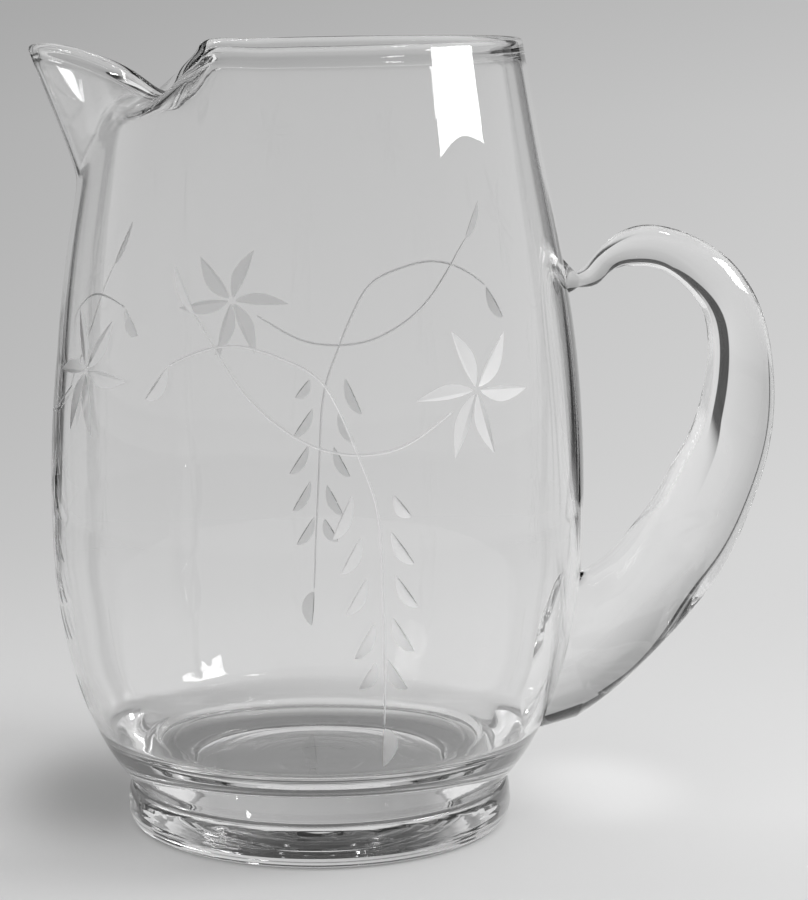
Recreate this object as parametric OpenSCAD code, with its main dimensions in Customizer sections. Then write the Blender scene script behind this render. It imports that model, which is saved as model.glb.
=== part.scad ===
// Cocktail pitcher of clear blown glass: a bowl with an ice lip, an applied
// foot and an applied handle. Millimetres, +Z up. The origin is the middle of
// the foot's underside, the handle points along +X and the spout along -X.

/* [Bowl] */
// Height of the rim above the table, at the handle's side
pitcher_h = 216; // [205:1:230]
// Outer radius of the rim
rim_r = 55.6; // [53:0.2:58]
// Outer radius of the belly, the widest level of the bowl
belly_r = 73.1; // [70:0.1:76]
// Height of the belly above the table
belly_z = 88; // [82:1:94]
// Outer radius of the bowl's underside, which stands on the foot
heel_r = 51; // [49:0.5:52.5]
// Thickness of the wall from the rim down to the shoulder
wall = 1.4; // [1.2:0.1:2.2]
// Thickness of the wall at the belly
belly_wall = 3.4; // [2.8:0.1:4]
// Thickness of the wall, measured level, where it turns into the floor
heel_wall = 3.1; // [2.6:0.1:4]
// Extra thickness of the fire-polished rim
rim_bead = 1.2; // [0.8:0.1:1.6]
// Radius of the ring that surrounds the floor inside
floor_r = 45; // [42:0.5:47]
// Width of the step between the floor's ring and its flat middle
floor_step = 4.5; // [3:0.5:6]
// Glass between the foot and the flat middle of the floor
floor_t = 10.3; // [9:0.1:12]
// Rise of the floor from its flat middle to its ring
floor_rise = 1.1; // [0.8:0.1:1.6]
// Height of the rounded corner between the floor's ring and the wall
turn_h = 7.6; // [6.6:0.2:9]

/* [Ice lip] */
// Distance from the bowl's axis to the outside of the spout's tip
spout_reach = 76.8; // [72:0.2:80]
// Widest outer width of the spout
spout_w = 28.4; // [26:0.2:31]
// Half the angle of the rim that is pinched into the ice lip
lip_angle = 58; // [55:1:61]
// Distance from the bowl's axis to the pinch behind the spout
pinch_reach = 41.3; // [39:0.2:44]
// Outer width of the pinch, between the two folds
pinch_w = 25; // [22:0.5:28]
// Drop of the rim at the pinch
pinch_drop = 13.5; // [11:0.5:16]
// Drop of the rim at the spout's tip
tip_drop = 2.2; // [1:0.2:4]
// Drop of the round rim where the ice lip begins
rim_dip = 1.6; // [1:0.1:2.2]
// Depth below the rim at which the spout runs out into the wall
spout_depth = 38; // [34:1:44]
// Depth below the rim at which the folds run out into the wall
fold_depth = 17; // [15:0.5:20]
// Bulge of the wall under the spout, drawn out by the pull on the spout
bulge = 1.7; // [1:0.1:2.4]
// Depth below the rim at which the bulge runs out
bulge_depth = 85; // [75:1:95]

/* [Foot] */
// Height of the foot
foot_h = 12; // [10:0.5:14]
// Largest radius of the foot
foot_r = 53.4; // [52.8:0.2:55]
// Outer radius of the flat ring that the foot rests on
rest_r = 49.5; // [48:0.5:51]
// Inner radius of the flat ring that the foot rests on
kick_r = 34.4; // [32:0.2:38]
// Height of the hollow under the foot
kick_h = 0.8; // [0.6:0.1:1.4]

/* [Handle] */
// Distance from the bowl's axis to the outside of the handle
handle_reach = 126.7; // [122:0.5:132]
// Height of the handle's top above the table
handle_top_z = 164.3; // [158:0.5:170]
// Height of the lower end of the pad on the wall
pad_z = 22.5; // [20:0.5:25]
// Height of the pad along the wall
pad_h = 46.5; // [42:0.5:50]
// Width of the pad
pad_w = 34; // [30:0.5:37]
// Thickness of the handle at its outermost place, across the loop's plane
grip_w = 15; // [13:0.2:17]
// Width of the seal that holds the handle's thin end to the wall
seal_w = 11; // [9:0.5:13]
// Height of the seal along the wall
seal_h = 10.5; // [9:0.5:12]
// Gap left at each weld between two pieces
weld_gap = 0.1; // [0.05:0.05:0.2]

/* [Hidden] */
glass = [0.86, 0.9, 0.9, 0.45];

// Counts of facets
round_steps = 40;
lip_steps = 15;
upper_rows = 17;
lower_rows = 8;
inside_rows = 7;
bead_rows = 3;
handle_rows = 34;
handle_sides = 22;

// Places that follow from the sizes above
floor_z = foot_h + floor_t;
floor_edge_z = floor_z + floor_rise;
turn_z = floor_edge_z + turn_h;
upper_h = pitcher_h - belly_z;
lower_h = belly_z - foot_h;

// Shares that shape the outer curve: pull of the belly and of the rim above it
belly_up_share = 0.435;
rim_out_share = 0.49;
rim_down_share = 0.42;
// Pull of the belly and of the heel below it
belly_down_share = 0.46;
heel_out_share = 0.63;
heel_up_share = 0.18;
// Rounded corner inside, from the wall to the floor's ring: shares of the way in and down
turn_shares = [[0.046, 0.21], [0.105, 0.395], [0.203, 0.553], [0.346, 0.658],
               [0.673, 0.829], [0.92, 0.947], [1, 1]];

function mix(a, b, t) = a + (b - a) * t;
function unit(v) = v / norm(v);

// Cubic Bezier curve through p0 and p3
function bezier(p0, p1, p2, p3, t) =
    pow(1 - t, 3) * p0 + 3 * pow(1 - t, 2) * t * p1
    + 3 * (1 - t) * t * t * p2 + pow(t, 3) * p3;

// Smooth curve through the points of a list, for u from 0 to 1
function through(points, u) =
    let (last = len(points) - 1,
         k = min(floor(u * last), last - 1),
         t = u * last - k,
         a = points[max(k - 1, 0)], b = points[k],
         c = points[k + 1], d = points[min(k + 2, last)])
    0.5 * (2 * b + (c - a) * t + (2 * a - 5 * b + 4 * c - d) * t * t
           + (3 * b - a - 3 * c + d) * pow(t, 3));

// Outer profile of the bowl as [radius, height], from the rim (0) to the belly (1)
function upper(t) = bezier(
    [rim_r, pitcher_h],
    [mix(rim_r, belly_r, rim_out_share), pitcher_h - rim_down_share * upper_h],
    [belly_r, belly_z + belly_up_share * upper_h],
    [belly_r, belly_z], t);

// From the belly (0) to the heel (1)
function lower(t) = bezier(
    [belly_r, belly_z],
    [belly_r, belly_z - belly_down_share * lower_h],
    [mix(heel_r, belly_r, heel_out_share), foot_h + heel_up_share * lower_h],
    [heel_r, foot_h], t);

// Outer radius of the plain bowl at a height
profile_steps = 40;
profile = concat(
    [for (i = [profile_steps : -1 : 0]) let (p = lower(i / profile_steps)) [p[1], p[0]]],
    [for (i = [profile_steps - 1 : -1 : 0]) let (p = upper(i / profile_steps)) [p[1], p[0]]]);
function wall_r(z) = lookup(z, profile);

// Inside of the wall below the belly (0), down to the place where it turns (1)
function inner_lower(t) =
    let (z = mix(belly_z, turn_z, t))
    [wall_r(z) - mix(belly_wall, heel_wall, t * t), z];

// Half of the ice lip, seen from the spout's middle plane: distance along the
// spout, distance across, drop of the rim, angle on the plain bowl below, and
// depth at which the shape runs out. steep says how steeply it does so.
fold_shares = [0.22, 0.62];
fold_drop_shares = [0.2, 0.62];
spout_shares = [0.2, 0.44, 0.71, 0.91];
spout_w_shares = [0.93, 1, 0.87, 0.5];
spout_drop_shares = [0.6, 0.28, 0.05, -0.02];
under_shares = [1.17, 1, 0.88, 0.72, 0.58, 0.46, 0.33, 0.19, 0.08, 0];
depth_shares = [0, 0, 0, 0.02, 0.1, 0.2, 0.45, 0.75, 0.95, 1];
steep = 1.1;

start_angle = lip_angle * under_shares[0];
corner = [rim_r * cos(lip_angle), rim_r * sin(lip_angle)];
function dip(angle) = rim_dip * (1 + cos(angle)) / (1 + cos(lip_angle));
lip_places = concat(
    [[rim_r * cos(start_angle), rim_r * sin(start_angle), dip(start_angle)],
     [corner[0], corner[1], rim_dip]],
    [for (i = [0, 1])
        [mix(corner[0], pinch_reach, fold_shares[i]),
         mix(corner[1], pinch_w / 2, fold_shares[i]),
         mix(rim_dip, pinch_drop, fold_drop_shares[i])]],
    [[pinch_reach, pinch_w / 2, pinch_drop]],
    [for (i = [0 : 3])
        [mix(pinch_reach, spout_reach, spout_shares[i]),
         spout_w / 2 * spout_w_shares[i],
         mix(tip_drop, pinch_drop, spout_drop_shares[i])]],
    [[spout_reach, 0, tip_drop]]);
lip = [for (i = [0 : len(lip_places) - 1])
    concat(lip_places[i], [lip_angle * under_shares[i],
                           mix(fold_depth, spout_depth, depth_shares[i])])];

// A column of the wall: the rim's place, the angle on the plain bowl, and how
// deep the shape runs out. side is 1 or -1.
function lip_column(u, side) =
    let (v = through(lip, u))
    [[-v[0], side * v[1], pitcher_h - v[2]], 180 - side * v[3], v[4]];
function round_column(angle) =
    [[rim_r * cos(angle), rim_r * sin(angle), pitcher_h - dip(180 - angle)],
     angle, fold_depth];

span = 180 - start_angle;
columns = concat(
    [for (i = [0 : round_steps - 1]) round_column(mix(-span, span, i / round_steps))],
    [for (i = [0 : lip_steps - 1]) lip_column(i / lip_steps, 1)],
    [for (i = [lip_steps : -1 : 1]) lip_column(i / lip_steps, -1)]);
column_count = len(columns);

// Thickness of the glass at a depth below the rim
bead_depth = 2.5 * rim_bead;
function thickness(depth) =
    mix(wall, belly_wall, pow(min(depth / upper_h, 1), 2))
    + rim_bead * exp(-pow(depth / bead_depth, 2));

function ring_point(p, angle) = [p[0] * cos(angle), p[0] * sin(angle), p[1]];

// The rim's bead stands on the leaning wall, so its top lies a share of its
// radius lower than on a straight one
rim_pull = [rim_out_share * (belly_r - rim_r), rim_down_share * upper_h];
rim_lean_share = rim_pull[0] / norm(rim_pull);

// Bulge under the spout at an angle and a depth below the rim
bulge_power = 0.75;
function bulge_at(angle, depth) =
    bulge * pow(max(-cos(angle), 0), 2)
    * sin(180 * pow(min(depth / bulge_depth, 1), bulge_power));

// Outside of the wall above the belly: t runs from the rim (0) to the belly (1)
function outer_point(column, t) =
    let (p = upper(t),
         depth = pitcher_h - p[1],
         plain = ring_point([p[0] + bulge_at(column[1], depth), p[1]], column[1]),
         top = ring_point(upper(0), column[1]),
         rest = pow(max(1 - depth / column[2], 0), steep),
         rim = column[0] - [0, 0, (1 - rim_lean_share) * thickness(0) / 2])
    plain + rest * (rim - top);

// The rows crowd towards the rim, where the ice lip is
crowd = 1.35;
outer_upper = [for (j = [0 : upper_rows]) let (t = pow(j / upper_rows, crowd))
    [for (c = columns) outer_point(c, t)]];

// Outward normal and upward tangent of the outside at row j, column i
function across(j, i) =
    outer_upper[j][(i + 1) % column_count]
    - outer_upper[j][(i + column_count - 1) % column_count];
function along(j, i) = outer_upper[max(j - 1, 0)][i] - outer_upper[min(j + 1, upper_rows)][i];
function outward(j, i) = unit(cross(across(j, i), along(j, i)));
function row_depth(j) = pitcher_h - upper(pow(j / upper_rows, crowd))[1];

inner_upper = [for (j = [0 : upper_rows]) [for (i = [0 : column_count - 1])
    outer_upper[j][i] - thickness(row_depth(j)) * outward(j, i)]];
bead = [for (b = [1 : bead_rows]) [for (i = [0 : column_count - 1])
    let (half = thickness(0) / 2, turn = 180 * b / (bead_rows + 1))
    outer_upper[0][i] - half * outward(0, i)
    + half * (cos(turn) * outward(0, i) + sin(turn) * unit(along(0, i)))]];

function level(p) = [for (c = columns) ring_point(p, c[1])];
outer_lower = [for (j = [lower_rows : -1 : 1]) level(lower(j / lower_rows))];
turn = inner_lower(1);
inner_lower_rows = concat(
    [for (j = [1 : inside_rows]) level(inner_lower(j / inside_rows))],
    [for (s = turn_shares) level([mix(turn[0], floor_r, s[0]), mix(turn_z, floor_edge_z, s[1])])]);
// From its ring the floor falls to its flat middle
floor_steps = 3;
floor_rows = [for (j = [1 : floor_steps]) let (s = 1 - j / floor_steps)
    level([floor_r - floor_step * (1 - s), floor_z + floor_rise * pow(s, 2)])];

// Closed skin from rows of points, with a point at each end
function skin_faces(rows, count) = concat(
    [for (i = [0 : count - 1]) [0, 1 + i, 1 + (i + 1) % count]],
    [for (j = [0 : rows - 2], i = [0 : count - 1])
        let (a = 1 + j * count + i, b = 1 + j * count + (i + 1) % count)
        [a, a + count, b]],
    [for (j = [0 : rows - 2], i = [0 : count - 1])
        let (a = 1 + j * count + i, b = 1 + j * count + (i + 1) % count)
        [a + count, b + count, b]],
    [for (i = [0 : count - 1]) let (a = 1 + (rows - 1) * count)
        [a + (i + 1) % count, a + i, 1 + rows * count]]);

module skin(first, rows, last) {
    count = len(rows[0]);
    polyhedron(
        points = concat([first], [for (row = rows, p = row) p], [last]),
        faces = skin_faces(len(rows), count), convexity = 8);
}

// Blown bowl with its rim and ice lip
module body() {
    color(glass)
        skin([0, 0, foot_h],
             concat(outer_lower,
                    [for (j = [upper_rows : -1 : 0]) outer_upper[j]],
                    bead, inner_upper, inner_lower_rows, floor_rows),
             [0, 0, floor_z]);
}

// Applied foot: a thick disc with a rounded edge, hollow underneath
edge_steps = 8;
edge_z_share = 0.42;
kick_steps = 6;
waist_share = 0.35;
module foot() {
    edge_z = foot_h * edge_z_share;
    waist_r = mix(heel_r, foot_r, waist_share);
    under_edge = [for (i = [0 : edge_steps]) let (a = 90 * i / edge_steps)
        [rest_r + (foot_r - rest_r) * sin(a), edge_z * (1 - cos(a))]];
    over_edge = [for (i = [1 : edge_steps]) let (a = 90 * i / edge_steps)
        [waist_r + (foot_r - waist_r) * cos(a), edge_z + (foot_h - edge_z) * sin(a)]];
    kick = [for (i = [0 : kick_steps - 1]) let (a = 90 * i / kick_steps)
        [kick_r * sin(a), kick_h * cos(a)]];
    color(glass) rotate_extrude($fn = 96)
        polygon(concat([[0, foot_h]], kick, [[kick_r, 0]], under_edge, over_edge));
}

// Applied handle. Its outline in the loop's plane is given by pairs of places,
// one on the outside of the loop and one on the inside, from the pad upwards.
// Distances are shares of the way from the belly to the handle's reach, and
// heights shares of the way from the pad's lower end to the handle's top.
outside_shares = [
    [-0.03, 0.03], [0.14, 0.075], [0.46, 0.19], [0.73, 0.315], [0.9, 0.455],
    [0.993, 0.59], [0.998, 0.715], [0.918, 0.847], [0.735, 0.943], [0.46, 0.997],
    [0.25, 1], [0.1, 0.965], [0.015, 0.928], [-0.04, 0.912]];
inside_shares = [
    [0.05, 0.327], [0.14, 0.352], [0.28, 0.412], [0.4, 0.478], [0.507, 0.555],
    [0.6, 0.635], [0.651, 0.739], [0.63, 0.826], [0.545, 0.876], [0.4, 0.917],
    [0.25, 0.924], [0.135, 0.913], [0.058, 0.887], [-0.03, 0.884]];
// Width across the loop's plane, as shares of the pad's and the grip's widths
pad_w_shares = [1, 0.97, 0.85, 0.42, 0.08, 0, 0, 0, 0, 0, 0, 0, 0, 0];
grip_w_shares = [0, 0, 0.1, 0.5, 0.9, 0.92, 1, 0.84, 0.74, 0.68, 0.63, 0.57, 0.5, 0.46];
handle_h = handle_top_z - pad_z;
handle_span = handle_reach - belly_r;
stations = [for (i = [0 : len(outside_shares) - 1]) concat(
    [belly_r, pad_z, belly_r, pad_z]
    + [outside_shares[i][0] * handle_span, outside_shares[i][1] * handle_h,
       inside_shares[i][0] * handle_span, inside_shares[i][1] * handle_h],
    [pad_w * pad_w_shares[i] + grip_w * grip_w_shares[i]])];

// Ring of the handle between its outside and its inside place
function handle_ring(s) = [for (k = [0 : handle_sides - 1])
    let (a = 360 * k / handle_sides,
         middle = [(s[0] + s[2]) / 2, 0, (s[1] + s[3]) / 2],
         reach = [(s[0] - s[2]) / 2, 0, (s[1] - s[3]) / 2])
    middle + reach * cos(a) + [0, s[4] / 2 * sin(a), 0]];

// Ring that lies on the wall. Its outside place is at the height out_z and its
// inside place at in_z, as in the rod's rings next to it.
function wall_ring(out_z, in_z, width, widest) = [for (k = [0 : handle_sides - 1])
    let (a = 360 * k / handle_sides,
         z = mix(in_z, out_z, (1 + cos(a)) / 2),
         y = width / 2 * sin(a) * (1 + widest * cos(a)),
         r = wall_r(z) + weld_gap)
    [sqrt(r * r - y * y), y, z]];

// The patch under an end of the handle follows the wall from the ring inwards
patch_share = 0.5;
function patch(out_z, in_z, width, widest) =
    let (mid_z = (out_z + in_z) / 2)
    wall_ring(mix(mid_z, out_z, patch_share), mix(mid_z, in_z, patch_share),
              width * patch_share, widest);
function on_wall(z) = [wall_r(z) + weld_gap, 0, z];

pad_top_z = pad_z + pad_h;
pad_belly_share = 0.16;
// The seal reaches this share of its height below the handle's thin end
seal_low_share = 0.2;
seal_z = stations[len(stations) - 1][3] - seal_low_share * seal_h;
module handle() {
    color(glass)
        skin(on_wall(pad_z + pad_h / 2),
             concat([patch(pad_z, pad_top_z, pad_w, pad_belly_share),
                     wall_ring(pad_z, pad_top_z, pad_w, pad_belly_share)],
                    [for (i = [0 : handle_rows]) handle_ring(through(stations, i / handle_rows))],
                    [wall_ring(seal_z + seal_h, seal_z, seal_w, 0),
                     patch(seal_z + seal_h, seal_z, seal_w, 0)]),
             on_wall(seal_z + seal_h / 2));
}

body();
foot();
handle();
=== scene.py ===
# Cocktail pitcher: blown bowl with an ice lip, applied foot and handle, wheel-cut sprays.
# The bowl's axis is Z, the handle points along +X and the spout along -X.
import math
import bpy
import numpy as np
from mathutils import Matrix


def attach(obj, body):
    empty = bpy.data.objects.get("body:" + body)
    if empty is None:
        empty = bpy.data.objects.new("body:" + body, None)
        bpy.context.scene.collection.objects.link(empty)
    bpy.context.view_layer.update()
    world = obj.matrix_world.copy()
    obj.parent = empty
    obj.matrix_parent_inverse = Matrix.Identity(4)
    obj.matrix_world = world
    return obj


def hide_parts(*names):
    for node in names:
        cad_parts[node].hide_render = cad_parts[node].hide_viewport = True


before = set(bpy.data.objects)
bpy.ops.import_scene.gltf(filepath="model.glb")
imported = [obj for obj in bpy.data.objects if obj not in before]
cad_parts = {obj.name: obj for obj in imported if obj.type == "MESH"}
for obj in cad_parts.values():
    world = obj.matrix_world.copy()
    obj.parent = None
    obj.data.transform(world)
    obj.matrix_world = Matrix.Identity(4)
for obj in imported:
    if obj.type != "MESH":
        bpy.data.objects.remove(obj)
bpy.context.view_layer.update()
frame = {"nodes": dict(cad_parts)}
print("frame loaded:", ", ".join(frame["nodes"]))


# Small tools

# sRGB hex value as linear red, green, blue and alpha
def toLinear(hexColour):
    c = np.array([int(hexColour[i:i + 2], 16) for i in (1, 3, 5)]) / 255
    c = np.where(c <= 0.04045, c / 12.92, ((c + 0.055) / 1.055) ** 2.4)
    return (*c.tolist(), 1.0)


# Adds a node, sets its properties and inputs by name, and links (output, input) pairs into it
def addNode(tree, kind, links=(), **settings):
    node = tree.nodes.new(kind)
    for name, value in settings.items():
        if hasattr(node, name):
            setattr(node, name, value)
        else:
            node.inputs[name.replace("_", " ")].default_value = value
    for output, socket in links:
        tree.links.new(output, node.inputs[socket])
    return node


def newMaterial(name):
    material = bpy.data.materials.new(name)
    material.use_nodes = True
    material.node_tree.nodes.clear()
    return material, material.node_tree


# Natural cubic spline through the rows of knots, at shares (0 to 1) of its whole parameter. Knots
# are spaced by distance^0.75. The second derivatives come from one linear system.
def splineThrough(knots, where):
    knots = np.asarray(knots, float)
    gaps = np.maximum(np.linalg.norm(np.diff(knots[:, :3], axis=0), axis=1), 1e-9) ** 0.75
    u = np.concatenate([[0], np.cumsum(gaps)])
    n = len(knots)
    system, right = np.eye(n), np.zeros_like(knots)
    inner = np.arange(1, n - 1)
    system[inner, inner - 1] = gaps[:-1]
    system[inner, inner] = 2 * (gaps[:-1] + gaps[1:])
    system[inner, inner + 1] = gaps[1:]
    rise = np.diff(knots, axis=0) / gaps[:, None]
    right[1:-1] = 6 * np.diff(rise, axis=0)
    bend = np.linalg.solve(system, right)
    at = np.asarray(where, float) * u[-1]
    k = np.clip(np.searchsorted(u, at, side="right") - 1, 0, n - 2)
    h, a, b = gaps[k][:, None], (u[k + 1] - at)[:, None], (at - u[k])[:, None]
    return ((bend[k] * a ** 3 + bend[k + 1] * b ** 3) / (6 * h)
            + (knots[k] / h - bend[k] * h / 6) * a + (knots[k + 1] / h - bend[k + 1] * h / 6) * b)


# Cubic Bezier curve with the four points p, at the parameters t
def bezier(p, t):
    t = np.asarray(t, float)[:, None]
    p = np.asarray(p, float)
    return (1 - t) ** 3 * p[0] + 3 * (1 - t) ** 2 * t * p[1] + 3 * (1 - t) * t * t * p[2] + t ** 3 * p[3]


def unit(v):
    return v / np.linalg.norm(v, axis=-1, keepdims=True)


def mix(a, b, share):
    return a + (b - a) * share


# Rows of points from a profile of (radius, height) turned about the axis: radius * around + height * up
def turned(profile, around):
    return profile[:, :1, None] * around[None] + profile[:, 1, None, None] * [0, 0, 1]


# Closed skin over a grid of points in millimetres (rows, round), with a pole at each end.
# rowSlots gives the material slot of each band, the two end fans included.
def skinPiece(name, rows, materials, rowSlots, firstPole, lastPole):
    rows = np.asarray(rows, float)
    m, n = rows.shape[:2]
    points = np.concatenate([[firstPole], rows.reshape(-1, 3), [lastPole]]) / 1000
    i = np.arange(n)
    nxt = (i + 1) % n
    band = 1 + np.arange(m - 1)[:, None] * n
    quads = np.stack([band + i, band + nxt, band + n + nxt, band + n + i], -1).reshape(-1, 4)
    low = np.stack([np.zeros(n, int), 1 + nxt, 1 + i], -1)
    high = np.stack([np.full(n, 1 + m * n), 1 + (m - 1) * n + i, 1 + (m - 1) * n + nxt], -1)
    mesh = bpy.data.meshes.new(name)
    mesh.from_pydata(points.tolist(), [], low.tolist() + quads.tolist() + high.tolist())
    mesh.polygons.foreach_set("material_index", np.repeat(rowSlots, n).astype(np.int32))
    mesh.polygons.foreach_set("use_smooth", np.ones(len(mesh.polygons), bool))
    for material in materials:
        mesh.materials.append(material)
    mesh.update()
    piece = bpy.data.objects.new(name, mesh)
    bpy.context.scene.collection.objects.link(piece)
    return piece


# Materials

# The slow waves that blowing and shaping leave in hand-made glass: noise on Object coordinates,
# drawn out upwards, with lengths and heights in millimetres
def wavyNormal(tree, coords, waveMm, rise, stretch):
    mapping = addNode(tree, "ShaderNodeMapping", [(coords.outputs["Object"], "Vector")])
    mapping.inputs["Scale"].default_value = (1, 1, 1 / stretch)
    waves = addNode(tree, "ShaderNodeTexNoise", [(mapping.outputs["Vector"], "Vector")],
                    Scale=1000 / waveMm, Detail=1.0, Roughness=0.4)
    return addNode(tree, "ShaderNodeBump", [(waves.outputs["Fac"], "Height")],
                   Strength=1.0, Distance=rise / 1000)


# Faint rings that turning the soft glass against a tool leaves below a height: noise over the
# distance from the axis and the height
def ringedNormal(tree, coords, normal, below, waveMm, rise):
    flat = addNode(tree, "ShaderNodeVectorMath", [(coords.outputs["Object"], 0)], operation="MULTIPLY")
    flat.inputs[1].default_value = (1, 1, 0)
    radius = addNode(tree, "ShaderNodeVectorMath", [(flat.outputs["Vector"], 0)], operation="LENGTH")
    place = addNode(tree, "ShaderNodeSeparateXYZ", [(coords.outputs["Object"], "Vector")])
    polar = addNode(tree, "ShaderNodeCombineXYZ",
                    [(radius.outputs["Value"], "X"), (place.outputs["Z"], "Y")])
    rings = addNode(tree, "ShaderNodeTexNoise", [(polar.outputs["Vector"], "Vector")],
                    Scale=1000 / waveMm, Detail=2.0, Roughness=0.5)
    fadeMm = 8
    fade = addNode(tree, "ShaderNodeMapRange", [(place.outputs["Z"], "Value")],
                   interpolation_type="SMOOTHSTEP", From_Min=(below - fadeMm) / 1000, From_Max=below / 1000,
                   To_Min=1.0, To_Max=0.0)
    return addNode(tree, "ShaderNodeBump",
                   [(rings.outputs["Fac"], "Height"), (fade.outputs["Result"], "Strength"),
                    (normal, "Normal")], Distance=rise / 1000)


# Colourless soda-lime glass, blown and fire-polished: perfectly smooth, index 1.52, hardly any tint
def clearGlass(name, waveMm, rise, stretch, rings):
    material, tree = newMaterial(name)
    coords = addNode(tree, "ShaderNodeTexCoord")
    bump = wavyNormal(tree, coords, waveMm, rise, stretch)
    if rings:
        bump = ringedNormal(tree, coords, bump.outputs["Normal"], *rings)
    glass = addNode(tree, "ShaderNodeBsdfPrincipled", [(bump.outputs["Normal"], "Normal")],
                    Base_Color=toLinear("#FDFDFD"), Roughness=0.0, IOR=1.52, Transmission_Weight=1.0)
    addNode(tree, "ShaderNodeOutputMaterial", [(glass.outputs[0], "Surface")])
    return material


# Where two gathers of hot glass have fused there is no surface left, so nothing shows
def fusedWeld():
    material, tree = newMaterial("fused_weld")
    clear = addNode(tree, "ShaderNodeBsdfTransparent", Color=(1, 1, 1, 1))
    addNode(tree, "ShaderNodeOutputMaterial", [(clear.outputs[0], "Surface")])
    return material


# Glass ground with a stone wheel and left unpolished: satin, it blurs what is behind, and the
# broken surface scatters a share of the light back
def greyCutGlass():
    material, tree = newMaterial("grey_cut_glass")
    glass = addNode(tree, "ShaderNodeBsdfPrincipled",
                    Base_Color=toLinear("#FAFAFA"), Roughness=0.3, IOR=1.52, Transmission_Weight=0.7)
    addNode(tree, "ShaderNodeOutputMaterial", [(glass.outputs[0], "Surface")])
    return material


# rings: the height below which they lie, their spacing and how high they stand
bowlGlass = clearGlass("blown_glass_bowl", waveMm=16, rise=0.08, stretch=8, rings=(34, 5, 0.02))
footGlass = clearGlass("blown_glass_foot", waveMm=45, rise=0.03, stretch=2, rings=(14, 4.5, 0.13))
handleGlass = clearGlass("drawn_glass_handle", waveMm=30, rise=0.02, stretch=2, rings=None)
weld = fusedWeld()
greyCut = greyCutGlass()


# Bowl: one blown piece, with the pinched ice lip

bowl = {
    "height": 216, "rimR": 55.45, "bellyR": 73.1, "bellyZ": 88, "heelR": 51, "heelZ": 12,
    # pull of the rim (out, down), of the belly (up, down) and of the heel (out, up), as shares
    "neckPull": (0.49, 0.42), "bellyPull": (0.435, 0.46), "heelPull": (0.63, 0.18),
    "wall": 1.4, "bellyWall": 3.4, "rimBead": 1.2, "beadReach": 2.5,
    # inside of the wall below the belly, and the floor's two rings, as (radius, height)
    "inside": [(69.3, 72), (67.5, 57), (65.3, 45.5), (62.9, 37.5), (61.3, 33.3), (60.3, 31), (59.6, 29.4),
               (58.7, 28), (57.2, 26.8), (55, 26), (50, 24.8), (46.4, 24.05), (45.5, 23.92), (45.1, 23.7),
               (44.8, 23.3), (44.5, 22.9), (44.1, 22.6), (43.3, 22.45), (42, 22.36), (41.2, 22.38),
               (40.8, 22.46), (40.4, 22.34)],
    "floorFlatR": 39.5, "floorZ": 22.3,
    "spoutReach": 76.8, "spoutW": 28.4, "lipAngle": 58, "pinchReach": 41.3, "pinchW": 25,
    "pinchDrop": 13.5, "tipDrop": 2.2, "rimDip": 1.6, "plainStep": 8, "overlap": 36,
    # depths at which the spout and the folds run out, how steeply, and how soft the bend is there
    "spoutDepth": 38, "foldDepth": 17, "steep": 1.1, "softBend": 0.07, "bendGone": (50, 90),
    # the fold's way from the rim to the pinch, and its drop; the spout's way, width and drop
    "foldShares": [(0, 0), (0.22, 0.2), (0.62, 0.62), (1, 1)],
    "spoutShares": [(0.2, 0.93, 0.6), (0.44, 1, 0.28), (0.71, 0.87, 0.05), (0.91, 0.5, -0.02), (1, 0, 0)],
    # angle on the plain bowl under each of these places, and depth from the folds' to the spout's
    "underShares": [1, 0.88, 0.72, 0.58, 0.46, 0.33, 0.19, 0.08, 0],
    "deepShares": [0, 0, 0.02, 0.1, 0.2, 0.45, 0.75, 0.95, 1],
    "bulge": 1.7, "bulgeDepth": 85, "bulgePower": 0.75,    # of the wall under the spout
    "columns": 216, "upperRows": 100, "lowerRows": 52, "beadRows": 9, "floorRows": 50,
    "crowd": 1.35,    # how much closer the rows lie under the rim
}


# Outside of the plain bowl as (radius, height), t from the rim (0) to the heel (1): one smooth
# curve through places on two Bezier arcs that meet at the belly
def bowlProfile(t):
    b = bowl
    up, down = b["height"] - b["bellyZ"], b["bellyZ"] - b["heelZ"]
    upper = bezier([[b["rimR"], b["height"]],
                    [mix(b["rimR"], b["bellyR"], b["neckPull"][0]), b["height"] - b["neckPull"][1] * up],
                    [b["bellyR"], b["bellyZ"] + b["bellyPull"][0] * up],
                    [b["bellyR"], b["bellyZ"]]], [0, 0.15, 0.3, 0.45, 0.6, 0.75, 0.9])
    lower = bezier([[b["bellyR"], b["bellyZ"]],
                    [b["bellyR"], b["bellyZ"] - b["bellyPull"][1] * down],
                    [mix(b["heelR"], b["bellyR"], b["heelPull"][0]), b["heelZ"] + b["heelPull"][1] * down],
                    [b["heelR"], b["heelZ"]]], [0.15, 0.35, 0.55, 0.75, 0.9, 1])
    return splineThrough(np.concatenate([upper, lower]), t)


profileTable = bowlProfile(np.linspace(0, 1, 1200))[::-1]
slopeTable = np.gradient(profileTable[:, 0], profileTable[:, 1])


# Outer radius of the plain bowl at a height
def wallR(z):
    return np.interp(z, profileTable[:, 1], profileTable[:, 0])


# The pull on the spout has drawn the wall under it outwards too, most at a third of the depth:
# bulge * cos(angle from the spout)^2 * sin(pi * share of the depth^power)
def spoutBulge(angle, z):
    b = bowl
    share = np.clip((b["height"] - z) / b["bulgeDepth"], 0, 1)
    return b["bulge"] * np.maximum(-np.cos(angle), 0) ** 2 * np.sin(np.pi * share ** b["bulgePower"])


# Outward normal of the plain bowl at an angle and a height: (cos, sin, -slope of the radius)
def wallNormal(angle, z):
    slope = np.interp(z, profileTable[:, 1], slopeTable)
    return unit(np.stack([np.cos(angle), np.sin(angle), -slope], -1))


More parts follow.
